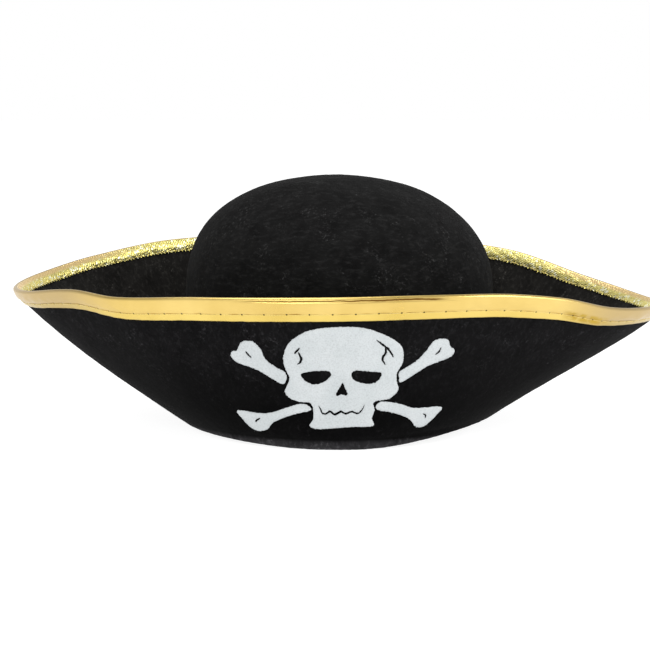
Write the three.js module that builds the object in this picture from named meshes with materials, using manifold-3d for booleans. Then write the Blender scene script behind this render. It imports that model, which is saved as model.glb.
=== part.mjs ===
// A felt pirate hat: a domed crown, and a brim that is turned up at the front and back and runs out
// to a point on each side. A gold ribbon binds the brim's edge, and a skull and crossbones is printed
// on the front. Millimetres, +Z up. The origin is the centre of the head opening, on the surface that
// the hat rests on. -Y is the front, and +X is the right-hand point for someone facing the front.

import * as THREE from "three";
import { ParametricGeometry } from "three/addons/geometries/ParametricGeometry.js";
import { mergeVertices } from "three/addons/utils/BufferGeometryUtils.js";
import Module from "manifold-3d";

const wasm = await Module();
wasm.setup();

// Layers of the wall, from the head opening outwards
const HEAD_HALF_WIDTH = 83.5; // with the half depth, an opening 58 cm round
const HEAD_HALF_DEPTH = 100.5;
const GAP = 0.3; // between pieces that touch
const BAND = 0.8; // thickness of the sweatband
const FELT = 2;
const WALL_MIDDLE = BAND + GAP + FELT + GAP + FELT / 2; // from the opening to the middle of the crown's wall

// Crown
const CROWN_HEIGHT = 145.6;
const SHOULDER_HEIGHT = 75; // where the wall ends and the dome starts
const CROWN_FOOT = 3.2;
const CROWN_BULGE = 1.6; // how far the wall leans out by the shoulder
const DOME_SQUARENESS = 2.35; // exponent of the dome's superellipse
const DOME_LEAN = 0.12; // the left shoulder is fuller than the right by this much

// Brim
const ALLOWANCE_HEIGHT = 12; // the brim's strip inside the crown, where they are sewn together
const FOLD_RADIUS = FELT + 0.4; // of the roll under the crown, to the middle of the felt
const FOLD_FLAT = 2.4; // width of the flat ring that the hat rests on
const RIGHT_LIFT = 7.5; // the ring rises off the table towards the two points
const LEFT_LIFT = 2.8;
const EDGE_HALF_LENGTH = 191;
const EDGE_HALF_WIDTH = 139;
const EDGE_PINCH = 0.1; // draws the oval in between its ends, so that the ends are pointed
const FRONT_DROP = THREE.MathUtils.degToRad(2); // the flap leaves the roll flatter than its mean slope
const RIGHT_DROP = THREE.MathUtils.degToRad(0.4);
const LEFT_DROP = THREE.MathUtils.degToRad(6);
const END_CURL = 0.35; // and turns up at the edge by this share of what is left to the vertical
const START_REACH = 0.33; // how far each end's slope reaches along the flap
const END_REACH = 0.16;
// Height of the brim's edge at plan angles in degrees: -90 is the front, 0 the right-hand point
const EDGE_HEIGHTS = [
  [-180, 79.5], [-161, 80.2], [-144, 84.2], [-133, 82.2], [-116, 84.5], [-90, 86.2], [-62, 86.2],
  [-47, 81.5], [-35, 74.4], [-22, 71.6], [0, 69.5], [17, 71], [35, 79], [55, 93], [90, 99.5],
  [125, 98.6], [145, 91], [163, 83.5],
];

// Gold binding, folded over the edge and sewn through
const RIBBON = 0.5;
const BINDING_GAP = 0.2;
// Distances below the edge: the ribbon reaches further down at the front than elsewhere
const OUTER_LEG = { front: 11.6, elsewhere: 9 };
const INNER_LEG = { front: 8.3, elsewhere: 7 };
const SEAM_BELOW_EDGE = { front: 7.6, elsewhere: 6.3 };
const FRONT_FROM = 0.35; // how far round towards the front, as -sin u, the change begins and ends
const FRONT_TO = 0.8;
const THREAD = 0.5;

// Sweatband, care label and the seams inside
const BAND_BOTTOM = 2.5;
const BAND_TOP = 30;
const BAND_SEAM_HEIGHT = 5;
const HEADLINE_SEAM_HEIGHT = 9;
const LABEL = { width: 25, height: 20, thickness: 0.6, top: 28, back: 98.8 };

// Print on the front
const INK = 0.4;

const AROUND = 64; // steps round the hat
const DEGREE = Math.PI / 180;

// A point at height z, out from the edge of the head opening by the distance out.
function aroundHead(u, out, z) {
  const x = HEAD_HALF_WIDTH * Math.cos(u);
  const y = HEAD_HALF_DEPTH * Math.sin(u);
  const normal = new THREE.Vector3(HEAD_HALF_DEPTH * Math.cos(u), HEAD_HALF_WIDTH * Math.sin(u), 0);
  return new THREE.Vector3(x, y, z).addScaledVector(normal.normalize(), out);
}

// A measure that is front at the front and rear, and changes to right and left at the points.
function towardsThePoints(u, front, right, left) {
  const side = Math.cos(u) > 0 ? right : left;
  return front + (side - front) * THREE.MathUtils.smoothstep(Math.abs(Math.cos(u)), 0.1, 1);
}

// How far the hat's base is off the table: nothing at the front and rear, most at the points.
function lift(u) {
  return towardsThePoints(u, 0, RIGHT_LIFT, LEFT_LIFT);
}

// A point in the hat's base, at height z above the base's own level.
function inBase(u, out, z) {
  return aroundHead(u, out, z + lift(u));
}

// A smooth closed curve through EDGE_HEIGHTS, as a cubic between each pair of points.
function edgeHeight(u) {
  const count = EDGE_HEIGHTS.length;
  const at = (i) => {
    const turn = Math.floor(i / count);
    const [angle, height] = EDGE_HEIGHTS[i - turn * count];
    return { angle: angle + 360 * turn, height };
  };
  const slope = (i) =>
    (at(i + 1).height - at(i - 1).height) / (at(i + 1).angle - at(i - 1).angle);
  const degrees = THREE.MathUtils.euclideanModulo(u / DEGREE + 180, 360) - 180;
  let i = 0;
  while (at(i + 1).angle <= degrees) i += 1;
  const span = at(i + 1).angle - at(i).angle;
  const s = (degrees - at(i).angle) / span;
  return (
    (2 * s ** 3 - 3 * s ** 2 + 1) * at(i).height + (s ** 3 - 2 * s ** 2 + s) * span * slope(i) +
    (3 * s ** 2 - 2 * s ** 3) * at(i + 1).height + (s ** 3 - s ** 2) * span * slope(i + 1)
  );
}

// The middle of the felt at the edge of the brim.
function edgePoint(u) {
  const x = EDGE_HALF_LENGTH * Math.cos(u) * (1 - EDGE_PINCH * Math.sin(u) ** 2);
  const y = EDGE_HALF_WIDTH * Math.sin(u) * (1 - EDGE_PINCH * Math.cos(u) ** 2);
  return new THREE.Vector3(x, y, edgeHeight(u));
}

// How much flatter than its mean slope the flap leaves the roll.
function startDrop(u) {
  return towardsThePoints(u, FRONT_DROP, RIGHT_DROP, LEFT_DROP);
}

// Mean slope of the flap above the horizontal, at the plan angle u.
function flapSlope(u) {
  const foot = inBase(u, WALL_MIDDLE + 2 * FOLD_RADIUS, FOLD_RADIUS);
  const edge = edgePoint(u);
  return Math.atan2(edge.z - foot.z, Math.hypot(edge.x - foot.x, edge.y - foot.y));
}

// The roll under the crown, for an angle in its arc, measured as in the XY plane; half -1 is the arc
// on the side of the head and half 1 the arc on the side of the flap.
function onRoll(u, angle, half, inward) {
  const radius = FOLD_RADIUS - inward;
  const centre = WALL_MIDDLE + 0.1 + (half > 0 ? FOLD_FLAT : 0);
  const height = FOLD_RADIUS + FELT / 2;
  return inBase(u, centre + radius * Math.cos(angle), height + radius * Math.sin(angle));
}

const flapCurves = new Map();

// The flap at the plan angle u, as a curve from the roll to the edge in the middle of the felt.
function flap(u) {
  if (!flapCurves.has(u)) {
    const mean = flapSlope(u);
    const start = mean - startDrop(u);
    const end = mean + END_CURL * (Math.PI / 2 - mean);
    const foot = onRoll(u, 1.5 * Math.PI + start, 1, 0);
    const edge = edgePoint(u);
    const level = new THREE.Vector3(edge.x - foot.x, edge.y - foot.y, 0).normalize();
    const length = foot.distanceTo(edge);
    const towards = (angle, reach) =>
      level.clone().multiplyScalar(reach * Math.cos(angle)).setZ(reach * Math.sin(angle));
    const afterFoot = foot.clone().add(towards(start, START_REACH * length));
    const beforeEdge = edge.clone().sub(towards(end, END_REACH * length));
    const curve = new THREE.CubicBezierCurve3(foot, afterFoot, beforeEdge, edge);
    flapCurves.set(u, curve);
  }
  return flapCurves.get(u);
}

// Directions at the point t of the flap: along the brim, and into the hollow towards the crown.
function flapFrame(u, t) {
  const step = 0.002;
  const along = flap(u + step).getPointAt(t).sub(flap(u - step).getPointAt(t)).normalize();
  const up = flap(u).getTangentAt(t);
  return { along, inwards: up.cross(along).normalize() };
}

// A point beside the flap: t is 0 at the roll and 1 at the edge.
function onFlap(u, t, inward) {
  return flap(u).getPointAt(t).addScaledVector(flapFrame(u, t).inwards, inward);
}

function belowEdge(u, distance, inward) {
  return onFlap(u, 1 - distance / flap(u).getLength(), inward);
}

// A point of the round fold over the edge, from the outside at angle 0 to the inside at half a turn.
function overEdge(u, angle, radius) {
  const { along, inwards } = flapFrame(u, 1);
  const outwards = along.cross(inwards).normalize();
  return flap(u).getPointAt(1)
    .addScaledVector(inwards, -radius * Math.cos(angle))
    .addScaledVector(outwards, radius * Math.sin(angle));
}

// A distance below the edge that changes smoothly from the front to the rest of the hat.
function roundTheEdge(u, { front, elsewhere }) {
  return elsewhere + (front - elsewhere) * THREE.MathUtils.smoothstep(-Math.sin(u), FRONT_FROM, FRONT_TO);
}

// Distances below the edge of the rows of points under and along the binding.
function outerRows(u) {
  const seam = roundTheEdge(u, SEAM_BELOW_EDGE);
  return [roundTheEdge(u, OUTER_LEG), seam, seam / 2, 0];
}

function innerRows(u) {
  return [0, roundTheEdge(u, SEAM_BELOW_EDGE) / 2, roundTheEdge(u, INNER_LEG)];
}

// A body that runs right round the hat. section(u) lists the points of the cut at the plan angle u,
// in one clockwise loop with the axis on the left, or from pole to pole for a body closed on the axis.
function ring(section, fromPoleToPole = false) {
  const cuts = Array.from({ length: AROUND }, (_, i) => section((2 * Math.PI * i) / AROUND));
  const count = cuts[0].length;
  const steps = fromPoleToPole ? count - 1 : count;
  const place = (v, u, target) =>
    target.copy(cuts[Math.round(u * AROUND) % AROUND][Math.round(v * steps) % count]);
  return new ParametricGeometry(place, steps, AROUND);
}

// A thread lying along a seam, four-sided, where middle(u, out, up) gives points beside the seam.
function threadRing(middle) {
  const half = THREAD / 2;
  const corners = [[-half, -half], [-half, half], [half, half], [half, -half]];
  return ring((u) => corners.map(([out, up]) => middle(u, out, up)));
}

function crownWall(u, z, inset) {
  const lean = CROWN_BULGE * Math.sin((Math.PI / 2) * (z / SHOULDER_HEIGHT));
  return aroundHead(u, WALL_MIDDLE + FELT / 2 + lean - inset, z);
}

function crownDome(u, angle, inset) {
  const power = 2 / (DOME_SQUARENESS - DOME_LEAN * Math.cos(u));
  const level = Math.max(0, Math.cos(angle)) ** power;
  const rise = (CROWN_HEIGHT - inset - SHOULDER_HEIGHT) * Math.sin(angle) ** power;
  const { x, y } = crownWall(u, SHOULDER_HEIGHT, inset);
  return angle < 90 * DEGREE
    ? new THREE.Vector3(x * level, y * level, SHOULDER_HEIGHT + rise)
    : new THREE.Vector3(0, 0, CROWN_HEIGHT - inset);
}

function crown() {
  const domeAngles = [90, 75, 61, 48, 36, 25, 14, 5].map((degrees) => degrees * DEGREE);
  const wallHeights = [SHOULDER_HEIGHT, 40];
  const side = (u, inset) => [
    ...domeAngles.map((angle) => crownDome(u, angle, inset)),
    ...wallHeights.map((z) => crownWall(u, z, inset)),
    crownWall(u, CROWN_FOOT + lift(u), inset),
  ];
  return ring((u) => [...side(u, 0), ...side(u, FELT).reverse()], true);
}

function brim() {
  const side = (u, inward) => {
    const start = flapSlope(u) - startDrop(u);
    const rollEnd = 1 - roundTheEdge(u, OUTER_LEG) / flap(u).getLength();
    return [
      inBase(u, WALL_MIDDLE + 0.1 - FOLD_RADIUS + inward, ALLOWANCE_HEIGHT),
      ...[180, 225, 270].map((degrees) => onRoll(u, degrees * DEGREE, -1, inward)),
      ...[0, 0.5, 1].map((part) => onRoll(u, 1.5 * Math.PI + part * start, 1, inward)),
      ...[0.25, 0.5, 0.75].map((part) => onFlap(u, part * rollEnd, inward)),
      ...outerRows(u).map((distance) => belowEdge(u, distance, inward)),
    ];
  };
  return ring((u) => [...side(u, FELT / 2), ...side(u, -FELT / 2).reverse()]);
}

function goldBinding() {
  const foldAngles = [45, 90, 135].map((degrees) => degrees * DEGREE);
  const skin = (u, radius) => [
    ...outerRows(u).map((distance) => belowEdge(u, distance, -radius)),
    ...foldAngles.map((angle) => overEdge(u, angle, radius)),
    ...innerRows(u).map((distance) => belowEdge(u, distance, radius)),
  ];
  const inner = FELT / 2 + BINDING_GAP;
  return ring((u) => [...skin(u, inner), ...skin(u, inner + RIBBON).reverse()]);
}

// The two threads of the binding's seam: side -1 is the outside of the hat and 1 the inside.
function bindingThread(side) {
  const middle = FELT / 2 + BINDING_GAP + RIBBON + GAP + THREAD / 2;
  return threadRing((u, out, up) =>
    belowEdge(u, roundTheEdge(u, SEAM_BELOW_EDGE) - up, side * middle - out));
}

function sweatband() {
  return ring((u) => [
    inBase(u, 0, BAND_BOTTOM), inBase(u, 0, BAND_TOP),
    inBase(u, BAND, BAND_TOP), inBase(u, BAND, BAND_BOTTOM),
  ]);
}

function wallThread(out, height) {
  return threadRing((u, across, up) => inBase(u, out + across, height + up));
}

function box(width, depth, height, x, y, z) {
  return new THREE.BoxGeometry(width, depth, height).translate(x, y, z);
}

function solid(geometry) {
  const bare = geometry.clone().deleteAttribute("normal").deleteAttribute("uv");
  const merged = mergeVertices(bare, 1e-3);
  const vertProperties = merged.attributes.position.array;
  return new wasm.Manifold(new wasm.Mesh({ numProp: 3, vertProperties, triVerts: merged.index.array }));
}

function geometryOf(manifold) {
  const { vertProperties, triVerts } = manifold.getMesh();
  const geometry = new THREE.BufferGeometry();
  geometry.setAttribute("position", new THREE.BufferAttribute(vertProperties, 3));
  return geometry.setIndex(new THREE.BufferAttribute(triVerts, 1));
}

// A closed outline through the points, each an [x, z] on the front of the hat.
function outline(points, Kind = THREE.Shape) {
  const vectors = points.map(([x, z]) => new THREE.Vector3(x, z, 0));
  const curve = new THREE.CatmullRomCurve3(vectors, true, "centripetal");
  return new Kind(curve.getPoints(2 * points.length).slice(0, -1).map(({ x, y }) => new THREE.Vector2(x, y)));
}

const inkLayer = solid(ring((u) => {
  const bottom = FELT / 2 + GAP;
  const top = 1 - roundTheEdge(u, OUTER_LEG) / flap(u).getLength();
  const side = (inward) => [0.02, 0.25, 0.5, 0.75, 0.98].map((part) => onFlap(u, part * top, inward));
  return [...side(-bottom), ...side(-bottom - INK).reverse()];
}));

// Ink on the front of the brim, inside the outline and outside its holes.
function print(points, holes = []) {
  const shape = outline(points);
  shape.holes = holes.map((hole) => outline(hole, THREE.Path));
  const block = new THREE.ExtrudeGeometry(shape, { depth: 80, bevelEnabled: false });
  block.rotateX(Math.PI / 2).translate(0, -80, 0);
  return geometryOf(inkLayer.intersect(solid(block)));
}

const SKULL = [
  [2, 71.5], [13, 71], [22, 68], [29, 64.5], [34, 60], [35, 54], [34, 49.5], [31.5, 45], [31.5, 40],
  [32.5, 36], [31, 33], [27, 30], [19, 28.5], [19.5, 23.5], [18, 19], [19, 16], [18, 14.2], [6.5, 14],
  [-9.5, 12.8], [-14.5, 13.2], [-16, 15], [-14, 19], [-15, 27.5], [-21.5, 28.5], [-26.5, 30.3],
  [-29.5, 34], [-27.3, 40], [-27, 43], [-29, 47], [-30.2, 53], [-28.5, 60], [-24, 65], [-17, 69],
  [-8, 71],
];
// The holes run anticlockwise and the outline of the skull clockwise
const LEFT_EYE = [[-20.5, 44.7], [-18.5, 40.8], [-13, 38.6], [-7, 41], [-4.2, 44.5], [-6, 46.5], [-13, 46.5]];
const RIGHT_EYE = [[23, 45.2], [15, 46.3], [9, 46.8], [6.6, 44.3], [9, 40.8], [16, 38.9], [21, 40.5]];
const NOSE = [
  [2, 39.8], [0.3, 37], [-1.5, 33.5], [-1, 32.1], [1.4, 33], [3.6, 32.2], [4.7, 33.5], [3.4, 36.5],
];
const BONES = {
  bone_print_upper_left: [
    [-59, 54], [-58, 56.5], [-55.5, 57], [-53.5, 61.5], [-50, 62.8], [-46, 62], [-42.5, 58], [-40, 52.5],
    [-34, 48], [-29.8, 45.6], [-28.4, 42.5], [-30, 38.6], [-34, 40], [-44, 46], [-53.5, 49.3], [-57, 51],
  ],
  bone_print_upper_right: [
    [33, 45.6], [41.5, 51], [47, 56.5], [51, 62], [55, 63.8], [59.5, 62.8], [60.5, 59.3], [63, 56.5],
    [61, 53], [54, 50.4], [47, 47.5], [40, 43], [33.5, 39.3], [32.8, 42],
  ],
  bone_print_lower_left: [
    [-56.4, 20.6], [-53.8, 21.5], [-43.5, 20.6], [-36.5, 21.6], [-28, 25], [-20.5, 27.3],
    [-16.6, 26.2], [-15.6, 23.6], [-24, 21.2], [-31, 18.4], [-36.4, 15.4], [-39.4, 11.4],
    [-43.6, 9.8], [-48, 11], [-52.6, 15.4],
  ],
  bone_print_lower_right: [
    [57, 22.2], [54.3, 23.8], [41.5, 23.8], [34.5, 26.4], [26, 28.4], [21.2, 27.6], [20.7, 24],
    [28.5, 22], [36, 19.2], [40, 16], [41.8, 13], [45, 11.9], [49, 13.6], [54, 18.8],
  ],
};

const felt = { color: 0x1c1a1c, roughness: 0.95, metalness: 0 };
const gold = { color: 0xd9b65a, roughness: 0.32, metalness: 0.9 };
const goldThread = { color: 0xb08d3c, roughness: 0.6, metalness: 0 };
const blackThread = { color: 0x151515, roughness: 0.85, metalness: 0 };
const ribbon = { color: 0x121212, roughness: 0.7, metalness: 0 };
const ink = { color: 0xd4d8d9, roughness: 0.55, metalness: 0 };
const satin = { color: 0xf0eee8, roughness: 0.5, metalness: 0 };

const hat = new THREE.Group();

function add(name, geometry, look) {
  const mesh = new THREE.Mesh(geometry, new THREE.MeshStandardMaterial(look));
  geometry.computeVertexNormals();
  mesh.name = name;
  hat.add(mesh);
}

const labelMiddle = LABEL.back - LABEL.thickness / 2;

add("crown", crown(), felt);
add("brim", brim(), felt);
add("headline_seam_thread", wallThread(WALL_MIDDLE + FELT / 2 + 0.8, HEADLINE_SEAM_HEIGHT), blackThread);
add("sweatband", sweatband(), ribbon);
add("sweatband_stitch_thread", wallThread(-GAP - THREAD / 2, BAND_SEAM_HEIGHT), blackThread);
add("gold_binding", goldBinding(), gold);
add("binding_needle_thread", bindingThread(-1), goldThread);
add("binding_bobbin_thread", bindingThread(1), goldThread);
add("skull_print", print(SKULL, [LEFT_EYE, RIGHT_EYE, NOSE]), ink);
for (const [name, points] of Object.entries(BONES)) add(name, print(points), ink);
add("care_label", box(LABEL.width, LABEL.thickness, LABEL.height,
  0, labelMiddle, LABEL.top - LABEL.height / 2), satin);
add("care_label_stitches", box(LABEL.width - 2, LABEL.thickness, THREAD,
  0, labelMiddle, LABEL.top + GAP + THREAD / 2), blackThread);

export default hat;
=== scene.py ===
"""Looks of the felt pirate hat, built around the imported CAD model.

The hat's shape functions work in millimetres, with the CAD's own formulas; meshes are made in metres.
u is the plan angle round the hat: 0 is the right-hand point and -90 degrees is the front.
"""
import math

import bmesh
import bpy
import numpy as np
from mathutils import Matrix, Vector
from mathutils.bvhtree import BVHTree
from mathutils.geometry import delaunay_2d_cdt


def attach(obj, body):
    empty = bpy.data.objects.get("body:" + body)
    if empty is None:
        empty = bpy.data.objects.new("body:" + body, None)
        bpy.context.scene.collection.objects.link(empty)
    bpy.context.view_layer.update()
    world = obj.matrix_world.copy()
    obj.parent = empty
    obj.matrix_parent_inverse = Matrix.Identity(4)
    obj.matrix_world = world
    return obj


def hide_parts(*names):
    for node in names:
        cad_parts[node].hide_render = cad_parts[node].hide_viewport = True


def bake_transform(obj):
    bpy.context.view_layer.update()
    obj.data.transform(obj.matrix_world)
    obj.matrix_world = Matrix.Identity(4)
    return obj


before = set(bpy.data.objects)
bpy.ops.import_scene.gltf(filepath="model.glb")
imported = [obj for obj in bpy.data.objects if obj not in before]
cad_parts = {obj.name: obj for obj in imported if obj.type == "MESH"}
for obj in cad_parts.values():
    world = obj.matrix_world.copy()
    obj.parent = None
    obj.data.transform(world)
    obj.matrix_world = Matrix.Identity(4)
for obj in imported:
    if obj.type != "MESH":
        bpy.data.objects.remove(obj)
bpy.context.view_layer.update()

MM = 0.001
TURN = 2 * math.pi
rng = np.random.default_rng(11)

# ---------------- camera, sky and lights

CAMERA_AT = Vector((0.0, -1.4835, 0.2217))
LOOK_AT = Vector((-0.0083, 0.0, 0.0575))
LENS = 139.6

camera_data = bpy.data.cameras.new("camera")
camera_data.lens = LENS
camera_data.clip_end = 20
camera = bpy.data.objects.new("camera", camera_data)
camera.location = CAMERA_AT
camera.rotation_euler = (LOOK_AT - CAMERA_AT).to_track_quat("-Z", "Y").to_euler()
bpy.context.scene.collection.objects.link(camera)
bpy.context.scene.camera = camera

scene = bpy.context.scene
scene.view_settings.view_transform = "Standard"
scene.view_settings.look = "None"
world = bpy.data.worlds.new("studio")
scene.world = world
world.use_nodes = True


def studio_sky():
    """White all round at eye level, and greyer overhead, which gives the foil something to reflect."""
    tree = world.node_tree
    where = tree.nodes.new("ShaderNodeTexCoord")
    split = tree.nodes.new("ShaderNodeSeparateXYZ")
    fade = tree.nodes.new("ShaderNodeMapRange")
    tree.links.new(where.outputs["Generated"], split.inputs[0])
    tree.links.new(split.outputs["Z"], fade.inputs["Value"])
    for name, value in (("From Min", 0.30), ("From Max", 0.65), ("To Min", 1.0), ("To Max", 0.45)):
        fade.inputs[name].default_value = value
    tree.links.new(fade.outputs["Result"], tree.nodes["Background"].inputs["Strength"])
    tree.nodes["Background"].inputs["Color"].default_value = (1, 1, 1, 1)


studio_sky()

LIGHTS_AIM_AT = Vector((0, 0, 0.06))


def area_light(name, place, size, watts):
    data = bpy.data.lights.new(name, "AREA")
    data.shape = "RECTANGLE"
    data.size, data.size_y = size
    data.energy = watts
    light = bpy.data.objects.new(name, data)
    light.location = place
    light.rotation_euler = (LIGHTS_AIM_AT - Vector(place)).to_track_quat("-Z", "Y").to_euler()
    scene.collection.objects.link(light)


area_light("top_softbox", (-0.25, 0.05, 1.5), (1.0, 0.8), 9)
area_light("front_softbox", (-0.5, -1.7, 1.0), (0.9, 0.6), 6.6)
area_light("right_softbox", (1.1, -0.55, 0.75), (0.6, 0.6), 6.5)

# ---------------- the hat's shape

HEAD_HALF_WIDTH, HEAD_HALF_DEPTH = 83.5, 100.5
GAP, BAND, FELT = 0.3, 0.8, 2.0
WALL_MIDDLE = BAND + GAP + FELT + GAP + FELT / 2
CROWN_HEIGHT, SHOULDER_HEIGHT, CROWN_FOOT, CROWN_BULGE = 145.6, 75.0, 3.2, 1.6
DOME_SQUARENESS, DOME_LEAN = 2.35, 0.12
ALLOWANCE_HEIGHT = 12.0
FOLD_RADIUS, FOLD_FLAT, ROLL_OFFSET = FELT + 0.4, 2.4, 0.1
RIGHT_LIFT, LEFT_LIFT = 7.5, 2.8
EDGE_HALF_LENGTH, EDGE_HALF_WIDTH, EDGE_PINCH = 191.0, 139.0, 0.1
FRONT_DROP, RIGHT_DROP, LEFT_DROP = math.radians(2), math.radians(0.4), math.radians(6)
START_REACH = 0.33
END_CURL, END_REACH = 0.35, 0.16
WAVE_HEIGHT, WAVE_LENGTH = 0.5, 70  # of the flap, which is never quite even
EDGE_HEIGHTS = np.array([
    (-180, 79.5), (-161, 80.2), (-144, 84.2), (-133, 82.2), (-116, 84.5), (-90, 86.2), (-62, 86.2),
    (-47, 81.5), (-35, 74.4), (-22, 71.6), (0, 69.5), (17, 71), (35, 79), (55, 93), (90, 99.5),
    (125, 98.6), (145, 91), (163, 83.5),
], float)


def unit(vectors):
    return vectors / np.linalg.norm(vectors, axis=-1, keepdims=True)


def ripple(points, wavelength, count, seed):
    """Smooth noise from -1 to 1 or so at the points: waves in random directions, near one wavelength."""
    draw = np.random.default_rng(seed)
    direction = unit(draw.normal(size=(count, 3)))
    pace = TURN / (wavelength * draw.uniform(0.6, 1.7, count))
    phase = draw.uniform(0, TURN, count)
    waves = np.sin(points @ (direction * pace[:, None]).T + phase)
    return waves.sum(-1) * math.sqrt(2 / count) * 0.5


def around_head(u, out, z):
    """Points at height z, out from the edge of the head opening by the distance out."""
    u, out, z = np.broadcast_arrays(u, out, z)
    place = np.stack([HEAD_HALF_WIDTH * np.cos(u), HEAD_HALF_DEPTH * np.sin(u), z], -1)
    normal = np.stack([HEAD_HALF_DEPTH * np.cos(u), HEAD_HALF_WIDTH * np.sin(u), 0 * z], -1)
    return place + unit(normal) * out[..., None]


def head_normal(u):
    return unit(np.stack([HEAD_HALF_DEPTH * np.cos(u), HEAD_HALF_WIDTH * np.sin(u), 0 * u], -1))


def towards_the_points(u, front, right, left):
    """A measure that is front at the front and rear and changes to right and left at the points."""
    side = np.where(np.cos(u) > 0, right, left)
    s = np.clip((np.abs(np.cos(u)) - 0.1) / 0.9, 0, 1)
    return front + (side - front) * s * s * (3 - 2 * s)


def lift(u):
    """How far the hat's base is off the table: nothing at the front and rear, most at the points."""
    return towards_the_points(u, 0, RIGHT_LIFT, LEFT_LIFT)


def in_base(u, out, z):
    return around_head(u, out, z + lift(u))


def edge_height(u):
    angle = np.concatenate([EDGE_HEIGHTS[:, 0] + turn for turn in (-360, 0, 360)])
    height = np.tile(EDGE_HEIGHTS[:, 1], 3)
    slope = np.gradient(height) * 2 / (np.roll(angle, -1) - np.roll(angle, 1))
    degrees = (np.degrees(u) + 180) % 360 - 180
    i = np.searchsorted(angle, degrees, side="right") - 1
    span = angle[i + 1] - angle[i]
    s = (degrees - angle[i]) / span
    return ((2 * s**3 - 3 * s**2 + 1) * height[i] + (s**3 - 2 * s**2 + s) * span * slope[i]
            + (3 * s**2 - 2 * s**3) * height[i + 1] + (s**3 - s**2) * span * slope[i + 1])


def edge_point(u):
    x = EDGE_HALF_LENGTH * np.cos(u) * (1 - EDGE_PINCH * np.sin(u) ** 2)
    y = EDGE_HALF_WIDTH * np.sin(u) * (1 - EDGE_PINCH * np.cos(u) ** 2)
    return np.stack([x, y, edge_height(u)], -1)


def start_drop(u):
    """How much flatter than its mean slope the flap leaves the roll."""
    return towards_the_points(u, FRONT_DROP, RIGHT_DROP, LEFT_DROP)


def flap_slope(u):
    foot = in_base(u, WALL_MIDDLE + 2 * FOLD_RADIUS, FOLD_RADIUS)
    run = edge_point(u) - foot
    return np.arctan2(run[..., 2], np.hypot(run[..., 0], run[..., 1]))


def on_roll(u, angle, half, inward):
    """Points of the roll under the crown; half -1 is its arc beside the head, 1 the arc of the flap."""
    radius = FOLD_RADIUS - inward
    centre = WALL_MIDDLE + ROLL_OFFSET + (FOLD_FLAT if half > 0 else 0)
    height = FOLD_RADIUS + FELT / 2
    return in_base(u, centre + radius * np.cos(angle), height + radius * np.sin(angle))


class Flap:
    """The brim from the roll to the edge, for an array of plan angles that runs once round the hat."""

    STEPS = np.linspace(0, 1, 49)

    def __init__(self, u):
        mean = flap_slope(u)
        start = mean - start_drop(u)
        end = mean + END_CURL * (math.pi / 2 - mean)
        foot = on_roll(u, 1.5 * math.pi + start, 1, 0)
        edge = edge_point(u)
        level = edge - foot
        length = np.linalg.norm(level, axis=-1)
        level[:, 2] = 0
        level = unit(level)

        def towards(angle, reach):
            move = level * (reach * np.cos(angle))[:, None]
            move[:, 2] = reach * np.sin(angle)
            return move

        after_foot = foot + towards(start, START_REACH * length)
        before_edge = edge - towards(end, END_REACH * length)
        self.u = u
        self.poles = np.stack([foot, after_foot, before_edge, edge], 1)
        run = np.linalg.norm(np.diff(self.curve(np.tile(self.STEPS, (len(u), 1))), axis=1), axis=-1)
        self.run = np.concatenate([np.zeros((len(u), 1)), np.cumsum(run, 1)], 1)
        self.length = self.run[:, -1]

    def curve(self, t, slope=False):
        t = t[..., None]
        a, b, c, d = (self.poles[:, None, k] for k in range(4))
        if slope:
            return 3 * ((1 - t) ** 2 * (b - a) + 2 * (1 - t) * t * (c - b) + t**2 * (d - c))
        return (1 - t) ** 3 * a + 3 * (1 - t) ** 2 * t * b + 3 * (1 - t) * t**2 * c + t**3 * d

    def rows(self, distance):
        """Middle of the felt, the direction towards the crown and the direction out past the edge,
        at distances below the edge, one row of distances for each plan angle."""
        distance = np.broadcast_to(distance, (len(self.u), np.shape(distance)[-1]))
        along_run = self.length[:, None] - distance
        t = np.stack([np.interp(want, run, self.STEPS) for want, run in zip(along_run, self.run)])
        middle = self.curve(t)
        up = unit(self.curve(t, slope=True))
        along = unit(np.roll(middle, -1, 0) - np.roll(middle, 1, 0))
        inwards = unit(np.cross(up, along))
        # the waves grow towards the edge
        share = 0.3 + 0.7 * along_run / self.length[:, None]
        wave = WAVE_HEIGHT * ripple(middle, WAVE_LENGTH, 16, 5) * share
        return middle + inwards * wave[..., None], inwards, np.cross(along, inwards)


def crown_side(u, inset, dome_rows, wall_rows):
    """Rows of the crown from its top to its foot, as an array of plan angle by row."""
    shoulder = around_head(u, WALL_MIDDLE + FELT / 2 + CROWN_BULGE - inset, SHOULDER_HEIGHT)
    power = 2 / (DOME_SQUARENESS - DOME_LEAN * np.cos(u))
    angle = np.linspace(math.pi / 2, 0, dome_rows)[:, None]
    level = np.clip(np.cos(angle), 0, 1) ** power
    rise = (CROWN_HEIGHT - inset - SHOULDER_HEIGHT) * np.sin(angle) ** power
    dome = np.stack([shoulder[:, 0] * level, shoulder[:, 1] * level, SHOULDER_HEIGHT + rise], -1)
    down = np.linspace(0, 1, wall_rows + 1)[1:, None]
    z = SHOULDER_HEIGHT + (CROWN_FOOT + lift(u) - SHOULDER_HEIGHT) * down
    bulge = CROWN_BULGE * np.sin(math.pi / 2 * z / SHOULDER_HEIGHT)
    wall = around_head(u, WALL_MIDDLE + FELT / 2 + bulge - inset, z)
    return np.concatenate([dome, wall]).transpose(1, 0, 2)


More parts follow.
